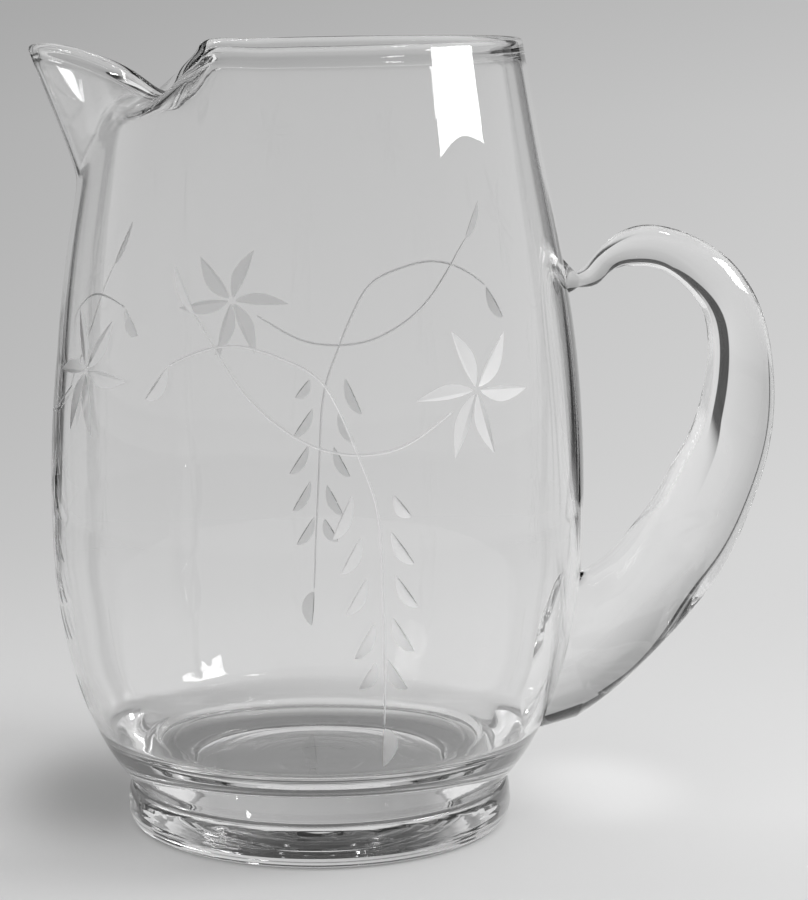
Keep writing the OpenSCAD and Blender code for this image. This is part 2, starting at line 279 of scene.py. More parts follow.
# Columns of the wall all round, from the handle's side by the near side to the spout and back:
# x and y of the rim, drop of the rim, angle on the plain bowl and depth of the run-out
def lipColumns():
    b = bowl
    lip = math.radians(b["lipAngle"])
    corner = np.array([b["rimR"] * math.cos(lip), b["rimR"] * math.sin(lip)])
    pinch = np.array([b["pinchReach"], b["pinchW"] / 2])
    dip = lambda angle: b["rimDip"] * (1 + np.cos(angle)) / (1 + math.cos(lip))
    half = [[*mix(corner, pinch, way), mix(b["rimDip"], b["pinchDrop"], drop)]
            for way, drop in b["foldShares"]]
    half += [[mix(b["pinchReach"], b["spoutReach"], way), b["spoutW"] / 2 * width,
              mix(b["tipDrop"], b["pinchDrop"], drop)] for way, width, drop in b["spoutShares"]]
    under = np.array(b["underShares"]) * b["lipAngle"]
    deep = mix(b["foldDepth"], b["spoutDepth"], np.array(b["deepShares"]))
    half = np.column_stack([half, under, deep])
    # the plain rim from the handle's side (180 degrees from the spout) to just before the fold. It
    # starts further round, so that the spline has no end there.
    plainAngle = np.arange(180 + b["overlap"], b["lipAngle"] + 6, -float(b["plainStep"]))
    a = np.radians(plainAngle)
    plain = np.column_stack([b["rimR"] * np.cos(a), b["rimR"] * np.sin(a), dip(a), plainAngle,
                             np.full(len(a), b["foldDepth"])])
    side = np.concatenate([plain, half])
    other = side[::-1][1:] * [1, -1, 1, -1, 1]
    knots = np.concatenate([side, other])
    fine = splineThrough(knots, np.linspace(0, 1, 6000))
    # keep one turn, and space the columns by a blend of the way along the rim and the angle
    fine = fine[(fine[:, 3] <= 180) & (fine[:, 3] > -180)]
    step = np.linalg.norm(np.diff(fine[:, :3], axis=0, prepend=fine[:1, :3]), axis=1)
    way = np.cumsum(step) / step.sum() + 0.5 * (180 - fine[:, 3]) / 360
    places = np.linspace(way[0], way[-1], b["columns"] + 1)[:-1]
    columns = np.column_stack([np.interp(places, way, fine[:, k]) for k in range(5)])
    columns[:, 0] *= -1
    columns[:, 3] = 180 - columns[:, 3]
    return columns


# Thickness of the wall at a depth below the rim: thin at the neck, a bead at the rim
def bowlThickness(depth):
    b = bowl
    share = np.clip(depth / (b["height"] - b["bellyZ"]), 0, 1)
    bead = b["rimBead"] * np.exp(-(depth / (b["beadReach"] * b["rimBead"])) ** 2)
    return mix(b["wall"], b["bellyWall"], share ** 2) + bead


# Rows of the whole skin, from the heel up the outside, over the rim, down the inside and over the
# floor. A point of the outside is plain(angle, depth) + rest * (rim - top): the plain bowl's point,
# and the rim's shift from the plain bowl's top, of which the share rest is left at that depth.
def bowlSurface():
    b = bowl
    columns = lipColumns()
    angle = np.radians(columns[:, 3])
    around = np.column_stack([np.cos(angle), np.sin(angle), np.zeros(len(angle))])
    half = bowlThickness(np.array(0.0)) / 2

    t = np.linspace(0, 1, 4000)
    shape = bowlProfile(t)
    upperT = t[:np.argmax(shape[:, 1] < b["bellyZ"])]
    profile = bowlProfile(np.linspace(0, 1, b["upperRows"] + 1) ** b["crowd"] * upperT[-1])
    depth = b["height"] - profile[:, 1]
    plain = turned(profile, around) + spoutBulge(angle, profile[:, 1, None])[..., None] * around[None]
    # (share + sqrt(share^2 + softBend^2)) / 2 instead of the larger of share and 0 rounds the bend
    soft = lambda share: (share + np.sqrt(share ** 2 + b["softBend"] ** 2)) / 2
    rest = (soft(1 - depth[:, None] / columns[:, 4]) / soft(1.0)) ** b["steep"]
    goneFrom, goneTo = b["bendGone"]
    rest = rest * np.clip((goneTo - depth[:, None]) / (goneTo - goneFrom), 0, 1)
    # sine of the rim's lean: the bead stands on the leaning wall
    pull = np.multiply(b["neckPull"], [b["bellyR"] - b["rimR"], b["height"] - b["bellyZ"]])
    lean = pull[0] / np.linalg.norm(pull)
    rim = np.column_stack([columns[:, 0], columns[:, 1], b["height"] - columns[:, 2] - (1 - lean) * half])
    top = b["rimR"] * around + [0, 0, b["height"]]
    outer = plain + rest[:, :, None] * (rim - top)[None]

    across = np.roll(outer, -1, axis=1) - np.roll(outer, 1, axis=1)
    along = np.gradient(outer, axis=0) * -1
    normal = unit(np.cross(across, along))
    thick = bowlThickness(depth)[:, None, None]
    inner = outer - thick * normal
    turns = np.pi * np.arange(1, b["beadRows"] + 1) / (b["beadRows"] + 1)
    up = unit(along[0])
    bead = [outer[0] - half * normal[0] + half * (math.cos(a) * normal[0] + math.sin(a) * up)
            for a in turns]

    outerLow = turned(bowlProfile(np.linspace(upperT[-1], 1, b["lowerRows"] + 1)[1:]), around)

    # inside, from the belly down to the floor's edge and over the dished floor to its flat middle
    start, end = (b["bellyR"] - b["bellyWall"], b["bellyZ"]), (b["floorFlatR"], b["floorZ"])
    down = np.linspace(0, 1, b["lowerRows"] + b["floorRows"] + 1)[1:]
    inside = splineThrough([start, *b["inside"], end], down)
    flat = np.column_stack([b["floorFlatR"] * np.array([0.8, 0.6, 0.4, 0.2]), np.full(4, b["floorZ"])])
    innerLow = turned(np.concatenate([inside, flat]), around)
    under = np.array([0.25, 0.5, 0.75])[:, None, None] * b["heelR"] * around[None] + [0, 0, b["heelZ"]]
    return np.concatenate([under, outerLow[::-1], outer[::-1], bead, inner, innerLow])


def makeBowl():
    rows = bowlSurface()
    slots = np.zeros(len(rows) + 1, int)
    slots[:4] = 1
    return skinPiece("bowl", rows, [bowlGlass, weld, greyCut], slots,
                     [0, 0, bowl["heelZ"]], [0, 0, bowl["floorZ"]])


bowlPiece = makeBowl()
print("bowl made:", len(bowlPiece.data.polygons), "faces")


# Foot: a gather pressed flat under the bowl, hollow underneath

foot = {
    "r": 53.4, "restR": 49.5, "kickR": 34.4, "kickH": 0.8, "waistR": 51.84, "edgeZ": 5.04,
    "columns": 192, "arcSteps": 25,
}


# Profile turned about the axis: hollow, ground ring, round edge, and the seat of the bowl
def makeFoot():
    f, top = foot, bowl["heelZ"]
    a = np.radians(np.linspace(0, 90, f["arcSteps"]))
    kick = np.column_stack([f["kickR"] * np.sin(a), f["kickH"] * np.cos(a)])[1:]
    rest = np.column_stack([np.linspace(f["kickR"], f["restR"], 5), np.zeros(5)])[1:-1]
    under = np.column_stack([mix(f["restR"], f["r"], np.sin(a)), f["edgeZ"] * (1 - np.cos(a))])
    over = np.column_stack([mix(f["waistR"], f["r"], np.cos(a)), mix(f["edgeZ"], top, np.sin(a))])[1:]
    seat = np.column_stack([bowl["heelR"] * np.array([1, 0.7, 0.4, 0.2]), np.full(4, top)])
    profile = np.concatenate([kick, rest, under, over, seat])
    angle = np.linspace(0, 2 * np.pi, f["columns"], endpoint=False)
    around = np.column_stack([np.cos(angle), np.sin(angle), np.zeros(f["columns"])])
    rows = turned(profile, around)
    slots = np.zeros(len(rows) + 1, int)
    slots[-4:] = 1
    return skinPiece("foot_disc", rows, [footGlass, weld], slots, [0, 0, f["kickH"]], [0, 0, top])


footPiece = makeFoot()
print("foot made:", len(footPiece.data.polygons), "faces")


# Handle: a solid rod of hot glass, stuck on as a pad, drawn over and sealed at the neck

handle = {
    "reach": 126.7, "topZ": 164.3, "padZ": 22.5, "padH": 46.5, "padW": 34, "gripW": 15,
    "sealW": 11, "sealH": 10.5, "sealLow": 0.2, "padWidest": 0.16,
    "bite": 0.15, "crevice": 1.2,    # how deep the ends sink into the wall, and the pad's drawn-in edge
    "rows": 260, "sides": 112,
    # places on the outside and on the inside of the loop, and the width there in pads and grips:
    # along the reach from the belly, and up from the pad's lower end to the top
    "places": [(-0.03, 0.03, 0.05, 0.327, 1, 0), (0.14, 0.075, 0.14, 0.352, 0.97, 0),
               (0.46, 0.19, 0.28, 0.412, 0.85, 0.1), (0.73, 0.315, 0.4, 0.478, 0.42, 0.5),
               (0.9, 0.455, 0.507, 0.555, 0.08, 0.9), (0.993, 0.59, 0.6, 0.635, 0, 0.92),
               (0.998, 0.715, 0.651, 0.739, 0, 1), (0.918, 0.847, 0.63, 0.826, 0, 0.84),
               (0.735, 0.943, 0.545, 0.876, 0, 0.74), (0.46, 0.997, 0.4, 0.917, 0, 0.68),
               (0.25, 1, 0.25, 0.924, 0, 0.63), (0.1, 0.965, 0.135, 0.913, 0, 0.57),
               (0.015, 0.928, 0.058, 0.887, 0, 0.5), (-0.04, 0.912, -0.03, 0.884, 0, 0.46)],
}


# Ring that lies on the wall, sunk a little into it. The rod's outside meets it at the height outZ and
# the rod's inside at inZ.
def wallRing(outZ, inZ, width, widest, sink):
    a = np.linspace(0, 2 * np.pi, handle["sides"], endpoint=False)
    z = mix(inZ, outZ, (1 + np.cos(a)) / 2)
    y = width / 2 * np.sin(a) * (1 + widest * np.cos(a))
    r = wallR(z) - sink
    return np.column_stack([np.sqrt(r * r - y * y), y, z])


# Elliptical rings between the outside and the inside places, carried along one spline
def makeHandle():
    h = handle
    span, rise = h["reach"] - bowl["bellyR"], h["topZ"] - h["padZ"]
    p = np.array(h["places"])
    stations = np.column_stack([bowl["bellyR"] + p[:, 0] * span, h["padZ"] + p[:, 1] * rise,
                                bowl["bellyR"] + p[:, 2] * span, h["padZ"] + p[:, 3] * rise,
                                h["padW"] * p[:, 4] + h["gripW"] * p[:, 5]])
    s = splineThrough(stations, np.linspace(0, 1, h["rows"]))
    a = np.linspace(0, 2 * np.pi, h["sides"], endpoint=False)
    middle, reach = (s[:, :2] + s[:, 2:4]) / 2, (s[:, :2] - s[:, 2:4]) / 2
    x = middle[:, :1] + reach[:, :1] * np.cos(a)
    z = middle[:, 1:] + reach[:, 1:] * np.cos(a)
    y = s[:, 4:] / 2 * np.sin(a)
    rings = np.stack([x, y, z], -1)
    padTop, sealZ = h["padZ"] + h["padH"], stations[-1, 3] - h["sealLow"] * h["sealH"]
    sealTop = sealZ + h["sealH"]
    padMid, sealMid = (h["padZ"] + padTop) / 2, (sealZ + sealTop) / 2
    shrunk = lambda outZ, inZ, width, widest, k: wallRing(
        (outZ + inZ) / 2 + (outZ - inZ) / 2 * k, (outZ + inZ) / 2 + (inZ - outZ) / 2 * k,
        width * k, widest, h["bite"])
    lowPad, highPad, widePad = h["padZ"] + h["crevice"], padTop - h["crevice"], h["padW"] - 2 * h["crevice"]
    pad = [shrunk(lowPad, highPad, widePad, h["padWidest"], k) for k in (0.25, 0.5, 0.75, 1)]
    seal = [shrunk(sealTop, sealZ, h["sealW"], 0, k) for k in (1, 0.75, 0.5, 0.25)]
    padRing = wallRing(lowPad, highPad, widePad, h["padWidest"], 0)
    sealRing = wallRing(sealTop, sealZ, h["sealW"], 0, 0)
    rows = np.concatenate([pad, [padRing], rings, [sealRing], seal])
    slots = np.zeros(len(rows) + 1, int)
    slots[:5] = 1
    slots[-5:] = 1
    onWall = lambda z: [wallR(z) - h["bite"], 0, z]
    return skinPiece("handle_rod", rows, [handleGlass, weld], slots, onWall(padMid), onWall(sealMid))


handlePiece = makeHandle()
print("handle made:", len(handlePiece.data.polygons), "faces")


# Wheel-cut sprays: a traditional grey-cut pattern of a flower, pendant leaves and two long stems

spray = {
    "places": [(-80, 0), (-173, 2.5), (86.7, 8)],    # angle of its middle line and rise
    # middle of the flower, and the ends of its petals with their widths
    "flower": (26.8, 128.5), "eye": 0.7,
    "petals": [(-7.4, 15.6, 4.2), (10.2, 14.3, 4.6), (18.4, -1.1, 4.2), (5.6, -17.1, 4.4),
               (-7.2, -17.1, 4.4), (-18.2, -1.7, 3.8)],
    "petalShare": 0.76,    # of a petal's width on its shallow side
    # strokes from one end to the other, and for the stems' tips the width of the bevel
    "leftLeaves": [(-13.2, 92.6, -8.1, 104.1), (-11, 83.8, -5.9, 93.4), (-9.7, 73.2, -4.4, 82.8),
                   (-7.3, 61.4, -2.3, 71), (-5.8, 53.2, -1.6, 60.5)],
    "rightLeaves": [(7.4, 97.8, 2.7, 103.7), (8.2, 85.5, 1.8, 94.6), (9.4, 74.2, 3.1, 83.2),
                    (8.5, 62.5, 2.4, 72.3), (7.2, 52.3, 1.3, 61.2)],
    "leafBevel": 2.7, "endLeaf": (1.6, 42, 2.4, 30.5), "endBevel": 3.6,
    "stemTips": [(-63.5, 126, -56, 135, 3.2), (-47.4, 148.2, -52.8, 160.5, -2.2)],
    "longStem": [(-56, 135), (-49.5, 138), (-37, 141), (-25.5, 138.4), (-15.7, 133), (-10.8, 125),
                 (-7.9, 118), (-6, 113), (-2.3, 102.7), (-0.3, 82), (1, 53), (1.6, 42)],
    "flowerStem": [(19.6, 124), (12.6, 119.5), (4.4, 115.4), (-7.2, 114.1), (-18.9, 117), (-29.9, 124.4),
                   (-35.9, 130.7), (-39.8, 136.3), (-44.5, 144), (-47.8, 148.8)],
    "stemWidth": 0.36, "stemDepth": 0.2, "steep": 0.3, "bevelFall": 0.14,
    # how soon a stroke is full (0 at once, 1 in its middle)
    "petalSwell": 1.0, "leafSwell": 0.75, "endSwell": 0.7, "stemSwell": 0.12,
    # a cutter's section above the glass: shares of its depth and width, lift and cap in millimetres
    "raised": 0.3, "past": 1.3, "lift": 0.02, "cap": 1,
    "widest": 0.85,    # under 1 the stroke is widest before its middle
}


# Cutter of one wheel stroke, over (way along the stroke, corner of the section). The section is a V
# with its bottom under the line of the stroke: a steep side on the left and a shallow bevel on the
# right (left and right swap where the bevel is negative), carried past the surface, and a cap.
# Both ends run out to a point just above the surface.
def strokeCutter(knots, bevel, steep, depth, swell, stations):
    s = spray
    way = np.linspace(0, 1, stations + 2)
    line = splineThrough(knots, way) if len(knots) > 2 else knots[0] + way[:, None] * (knots[1] - knots[0])
    heading = unit(np.gradient(line, axis=0))
    side = np.column_stack([heading[:, 1], -heading[:, 0]])[1:-1]
    line, full = line[1:-1], np.sin(np.pi * way[1:-1] ** s["widest"]) ** swell
    across = np.stack([-np.sign(bevel) * steep * s["past"] * full, 0 * full,
                       bevel * s["past"] * full, 0 * full], 1)
    above = s["raised"] * depth * full + s["lift"]
    out = np.stack([above, -depth * full, above, 0 * full + s["cap"]], 1)
    flat = line[:, None] + across[..., None] * side[:, None]
    if bevel < 0:
        flat, out = flat[:, ::-1], out[:, ::-1]
    ends = splineThrough(knots, [0, 1]) if len(knots) > 2 else knots
    points = np.concatenate([ends[:1], flat.reshape(-1, 2), ends[1:]])
    out = np.concatenate([[2 * s["lift"]], out.ravel(), [2 * s["lift"]]])
    i = np.arange(4)
    nxt = (i + 1) % 4
    band = 1 + np.arange(stations - 1)[:, None] * 4
    quads = np.stack([band + i, band + i + 4, band + nxt + 4, band + nxt], -1).reshape(-1, 4)
    first = np.column_stack([0 * i, i + 1, nxt + 1])
    last = 1 + 4 * (stations - 1)
    end = np.column_stack([0 * i + last + 4, last + nxt, last + i])
    return points, out, quads, np.concatenate([first, end])


# All strokes of a spray, in millimetres round and up from its middle line. A stroke is its line, its
# bevel, its steep side, its swell and its number of stations.
def sprayStrokes():
    s = spray
    straight = lambda row: np.array([row[:2], row[2:4]], float)
    centre = np.array(s["flower"])
    strokes = []
    for x, z, width in s["petals"]:
        way = np.array([x, z])
        strokes.append((centre + [way * s["eye"] / np.linalg.norm(way), way], width * s["petalShare"],
                        width * (1 - s["petalShare"]), s["petalSwell"], 14))
    for row in s["leftLeaves"]:
        strokes.append((straight(row), s["leafBevel"], s["steep"], s["leafSwell"], 12))
    for row in s["rightLeaves"]:
        strokes.append((straight(row), -s["leafBevel"], s["steep"], s["leafSwell"], 12))
    strokes.append((straight(s["endLeaf"]), -s["endBevel"], s["steep"], s["endSwell"], 14))
    for row in s["stemTips"]:
        strokes.append((straight(row), row[4], s["steep"], s["leafSwell"], 12))
    cutters = [strokeCutter(line, bevel, steep, s["bevelFall"] * abs(bevel), swell, n)
               for line, bevel, steep, swell, n in strokes]
    for line, n in ((s["longStem"], 90), (s["flowerStem"], 60)):
        cutters.append(strokeCutter(np.array(line, float), s["stemWidth"], s["stemWidth"],
                                    s["stemDepth"], s["stemSwell"], n))
    return cutters


# The strokes of every spray laid on the wall: angle = place + way round / radius
def makeCutters():
    points, faces, count = [], [], 0
    for place, rise in spray["places"]:
        for flat, out, quads, fans in sprayStrokes():
            z = flat[:, 1] + rise
            angle = math.radians(place) + flat[:, 0] / wallR(z)
            radius = wallR(z) + spoutBulge(angle, z)
            onWall = np.stack([radius * np.cos(angle), radius * np.sin(angle), z], -1)
            points.append(onWall + out[:, None] * wallNormal(angle, z))
            faces += (quads + count).tolist() + (fans + count).tolist()
            count += len(z)
    mesh = bpy.data.meshes.new("cutters")
    mesh.from_pydata((np.concatenate(points) / 1000).tolist(), [], faces)
    mesh.materials.append(greyCut)
    mesh.update()
    cutters = bpy.data.objects.new("cutters", mesh)
    bpy.context.scene.collection.objects.link(cutters)
    return cutters


# Takes the cutters and the handle's weld out of the bowl. Smooth glass keeps smooth normals: on the
# plain wall they are the turned profile's own, so that no edge of a cut shows in the glass beside it.
def cutBowl(piece, tools):
    for tool in tools:
        cut = piece.modifiers.new(tool.name, "BOOLEAN")
        cut.operation, cut.object, cut.solver = "DIFFERENCE", tool, "EXACT"
        cut.use_self, cut.material_mode = tool.name == "cutters", "TRANSFER"
    evaluated = piece.evaluated_get(bpy.context.evaluated_depsgraph_get())
    mesh = bpy.data.meshes.new_from_object(evaluated)
    piece.modifiers.clear()
    piece.data = mesh
    names = [slot.name for slot in mesh.materials]
    slots = np.empty(len(mesh.polygons), np.int32)
    mesh.polygons.foreach_get("material_index", slots)
    ground = slots == names.index(greyCut.name)
    mesh.polygons.foreach_set("use_smooth", ~ground)
    mesh.update()
    total = np.empty(len(mesh.polygons), np.int32)
    mesh.polygons.foreach_get("loop_total", total)
    corners = np.empty(len(mesh.loops), np.int32)
    mesh.loops.foreach_get("vertex_index", corners)
    where = np.empty(len(mesh.vertices) * 3, np.float32)
    mesh.vertices.foreach_get("co", where)
    where = where.reshape(-1, 3)[corners] * 1000
    normals = np.empty(len(mesh.loops) * 3, np.float32)
    mesh.corner_normals.foreach_get("vector", normals)
    normals = normals.reshape(-1, 3)
    radius, z = np.hypot(where[:, 0], where[:, 1]), where[:, 2]
    offWall, margin = 0.02, 1
    plain = (np.repeat(slots, total) == 0) & (np.abs(radius - wallR(z)) < offWall)
    plain &= (z > bowl["heelZ"] + margin) & (z < bowl["height"] - bowl["spoutDepth"] - margin)
    # the inside faces the axis, and under the spout it crosses the plain wall's radius
    plain &= (normals[:, :2] * where[:, :2]).sum(axis=1) > 0
    normals[plain] = wallNormal(np.arctan2(where[plain, 1], where[plain, 0]), z[plain])
    mesh.normals_split_custom_set(normals.tolist())
    print("bowl cut:", names, np.bincount(slots), "faces,", len(mesh.polygons), "in all")


cutterPiece = makeCutters()
cutBowl(bowlPiece, [cutterPiece, handlePiece])
bpy.data.objects.remove(cutterPiece)


# Stage, light and camera

stage = {
    # painted light and shade of the board: its tone by its way back from the pitcher in metres, as linear
    # grey at the right side
    "paintedTones": [(-0.2, 0.66), (-0.07, 0.70), (-0.01, 0.86), (0.06, 0.81), (0.13, 0.776), (0.28, 0.745),
              (0.48, 0.70), (0.71, 0.63), (0.85, 0.58), (0.93, 0.52), (1.3, 0.42)],
    "paintedLeftShade": 0.76, "left": -0.14, "right": 0.34,    # painted shade, darker towards the left
    # the sheet: ways of its front edge and of its bend, the bend's radius, its top, its sides
    "front": -2.2, "flatTo": 0.45, "bend": 0.5, "wallTop": 1.1, "sides": (-1.6, 1.6),
    "flatRows": 40, "bendRows": 40, "wallRows": 8, "acrossColumns": 30,
    # through glass a dark stand is seen on each side of the paper, between two directions from the
    # pitcher (across by back), from the first way back fully to the second
    "leftStand": (0.53, 0.7), "rightStand": (0.66, 1.1), "softEdge": 0.03, "standsFrom": (0.2, 0.4),
    # the way at which the paper ends for such rays, and how light the stands and the room above are
    "paperTop": 1.3, "beyond": 0.06,
    "ownLight": (0.35, 1.0), "ownLightFrom": (0.1, 0.4),    # share of its own tone, near and behind
    "paintedFootShare": 0.2, "footEdge": (0.044, 0.054),    # painted shade: share of light left under the foot
    # painted shadow and painted light beside the foot, as the glass would throw them: middle, half sizes,
    # share of light
    "paintedShadowAndLight": [((-0.062, 0.025), (0.045, 0.085), 0.55), ((0.08, 0.02), (0.04, 0.055), 1.2)],
}


# 1 for rays that have passed or met glass, 0 for others
def metGlass(tree, rays):
    both = addNode(tree, "ShaderNodeMath", [(rays.outputs["Is Glossy Ray"], 0),
                                            (rays.outputs["Is Transmission Ray"], 1)], operation="MAXIMUM")
    return both.outputs["Value"]


# 1 between two values of a socket, 0 outside them
def standBand(tree, value, inner, outer):
    rise = addNode(tree, "ShaderNodeMapRange", [(value, "Value")], interpolation_type="SMOOTHSTEP",
                   From_Min=inner, From_Max=inner + stage["softEdge"])
    fall = addNode(tree, "ShaderNodeMapRange", [(value, "Value")], interpolation_type="SMOOTHSTEP",
                   From_Min=outer, From_Max=outer + 2 * stage["softEdge"], To_Min=1.0, To_Max=0.0)
    both = addNode(tree, "ShaderNodeMath", [(rise.outputs["Result"], 0), (fall.outputs["Result"], 1)],
                   operation="MULTIPLY")
    return both.outputs["Value"]


# White paper laid on the table and bent up behind. Where it is seen, straight or through the glass, it shows
# its own tone with painted light and shade:
# lighter near the pitcher, darker back and to the left, painted shade under the foot and painted shadow and
# light beside it. Near the pitcher the lit and shaded paper is mixed in.
def paperMaterial():
    s = stage
    material, tree = newMaterial("white_paper")
    uv = addNode(tree, "ShaderNodeUVMap", uv_map="way")
    way = addNode(tree, "ShaderNodeSeparateXYZ", [(uv.outputs["UV"], "Vector")])
    # painted light gradient: the board's tone by its way back
    span = s["paintedTones"][-1][0] - s["paintedTones"][0][0]
    along = addNode(tree, "ShaderNodeMapRange", [(way.outputs["Y"], "Value")],
                    From_Min=s["paintedTones"][0][0], From_Max=s["paintedTones"][-1][0])
    ramp = addNode(tree, "ShaderNodeValToRGB", [(along.outputs["Result"], "Fac")])
    stops = ramp.color_ramp.elements
    while len(stops) < len(s["paintedTones"]):
        stops.new(0.5)
    for k, (where, grey) in enumerate(s["paintedTones"]):
        stops[k].position = (where - s["paintedTones"][0][0]) / span
    # moving a stop can change their order, so the colours come after all the moves
    for k, (where, grey) in enumerate(s["paintedTones"]):
        stops[k].color = (grey, grey, grey, 1)
    # painted shade, darker towards the left
    aside = addNode(tree, "ShaderNodeMapRange", [(way.outputs["X"], "Value")],
                    From_Min=s["left"], From_Max=s["right"], To_Min=s["paintedLeftShade"], To_Max=1.0)
    coords = addNode(tree, "ShaderNodeTexCoord")
    place = addNode(tree, "ShaderNodeSeparateXYZ", [(coords.outputs["Object"], "Vector")])
    # painted shade: the paper under the foot is darkened, as little light reaches it there
    radius = addNode(tree, "ShaderNodeVectorMath", [(coords.outputs["Object"], 0)], operation="LENGTH")
    footShadeMask = addNode(tree, "ShaderNodeMapRange", [(radius.outputs["Value"], "Value")],
                      interpolation_type="SMOOTHSTEP", From_Min=s["footEdge"][0], From_Max=s["footEdge"][1],
                      To_Min=1.0, To_Max=0.0)
    paintedFootShade = addNode(tree, "ShaderNodeMapRange", [(footShadeMask.outputs["Result"], "Value")],
                      To_Min=1.0, To_Max=s["paintedFootShare"])
    paintedShadeAndLight = paintedFootShade.outputs["Result"]
    # painted shadow and painted light on the paper beside the foot
    for middle, half, share in s["paintedShadowAndLight"]:
        offset = addNode(tree, "ShaderNodeVectorMath", [(coords.outputs["Object"], 0)], operation="SUBTRACT")
        offset.inputs[1].default_value = (*middle, 0)
        scaled = addNode(tree, "ShaderNodeVectorMath", [(offset.outputs["Vector"], 0)], operation="DIVIDE")
        scaled.inputs[1].default_value = (*half, 1)
        away = addNode(tree, "ShaderNodeVectorMath", [(scaled.outputs["Vector"], 0)], operation="LENGTH")
        patch = addNode(tree, "ShaderNodeMapRange", [(away.outputs["Value"], "Value")],
                        interpolation_type="SMOOTHERSTEP", To_Min=share, To_Max=1.0)
        paintedShadeAndLight = addNode(tree, "ShaderNodeMath", [(paintedShadeAndLight, 0), (patch.outputs["Result"], 1)],
                         operation="MULTIPLY").outputs["Value"]
    # painted light and shade: the side shade times the shade under and beside the foot
    light = addNode(tree, "ShaderNodeMath", [(aside.outputs["Result"], 0), (paintedShadeAndLight, 1)], operation="MULTIPLY")
    tone = addNode(tree, "ShaderNodeVectorMath",
                   [(ramp.outputs["Color"], 0), (light.outputs["Value"], "Scale")], operation="SCALE")
    # the stands and what is above the paper, for rays that have passed or met glass
    rays = addNode(tree, "ShaderNodeLightPath")
    ratio = addNode(tree, "ShaderNodeMath", [(place.outputs["X"], 0), (place.outputs["Y"], 1)],
                    operation="DIVIDE")
    mirrored = addNode(tree, "ShaderNodeMath", [(ratio.outputs["Value"], 1)], operation="SUBTRACT")
    mirrored.inputs[0].default_value = 0
    leftStand = standBand(tree, mirrored.outputs["Value"], *s["leftStand"])
    rightStand = standBand(tree, ratio.outputs["Value"], *s["rightStand"])
    stands = addNode(tree, "ShaderNodeMath", [(leftStand, 0), (rightStand, 1)], operation="MAXIMUM")
    behind = addNode(tree, "ShaderNodeMapRange", [(way.outputs["Y"], "Value")],
                     interpolation_type="SMOOTHSTEP",
                     From_Min=s["standsFrom"][0], From_Max=s["standsFrom"][1])
    above = addNode(tree, "ShaderNodeMapRange", [(way.outputs["Y"], "Value")],
                    interpolation_type="SMOOTHSTEP",
                    From_Min=s["paperTop"], From_Max=s["paperTop"] + s["softEdge"])
    standsBehind = addNode(tree, "ShaderNodeMath",
                           [(stands.outputs["Value"], 0), (behind.outputs["Result"], 1)],
                           operation="MULTIPLY")
    beyond = addNode(tree, "ShaderNodeMath",
                     [(standsBehind.outputs["Value"], 0), (above.outputs["Result"], 1)], operation="MAXIMUM")
    notSeen = addNode(tree, "ShaderNodeMath", [(rays.outputs["Is Camera Ray"], 1)], operation="SUBTRACT")
    notSeen.inputs[0].default_value = 1
    dim = addNode(tree, "ShaderNodeMath", [(beyond.outputs["Value"], 0), (notSeen.outputs["Value"], 1)],
                  operation="MULTIPLY")
    strength = addNode(tree, "ShaderNodeMapRange", [(dim.outputs["Value"], "Value")],
                       To_Min=1.0, To_Max=s["beyond"])
    own = addNode(tree, "ShaderNodeEmission", [(tone.outputs["Vector"], "Color"),
                                               (strength.outputs["Result"], "Strength")])
    # the lit paper's colour carries the same painted shade and light under and beside the foot
    sheet = addNode(tree, "ShaderNodeVectorMath", [(paintedShadeAndLight, "Scale")], operation="SCALE")
    sheet.inputs[0].default_value = toLinear("#E6E6E6")[:3]
    lit = addNode(tree, "ShaderNodeBsdfDiffuse", [(sheet.outputs["Vector"], "Color")])
    near = addNode(tree, "ShaderNodeMapRange", [(way.outputs["Y"], "Value")],
                   interpolation_type="SMOOTHSTEP",
                   From_Min=s["ownLightFrom"][0], From_Max=s["ownLightFrom"][1],
                   To_Min=s["ownLight"][0], To_Max=s["ownLight"][1])
    seen = addNode(tree, "ShaderNodeMath", [(rays.outputs["Is Camera Ray"], 0), (metGlass(tree, rays), 1)],
                   operation="MAXIMUM")
    shown = addNode(tree, "ShaderNodeMath", [(near.outputs["Result"], 0), (footShadeMask.outputs["Result"], 1)],
                    operation="MAXIMUM")
    share = addNode(tree, "ShaderNodeMath", [(seen.outputs["Value"], 0), (shown.outputs["Value"], 1)],
                    operation="MULTIPLY")
    mixed = addNode(tree, "ShaderNodeMixShader", [(share.outputs["Value"], 0), (lit.outputs[0], 1),
                                                 (own.outputs[0], 2)])
    addNode(tree, "ShaderNodeOutputMaterial", [(mixed.outputs[0], "Surface")])
    return material


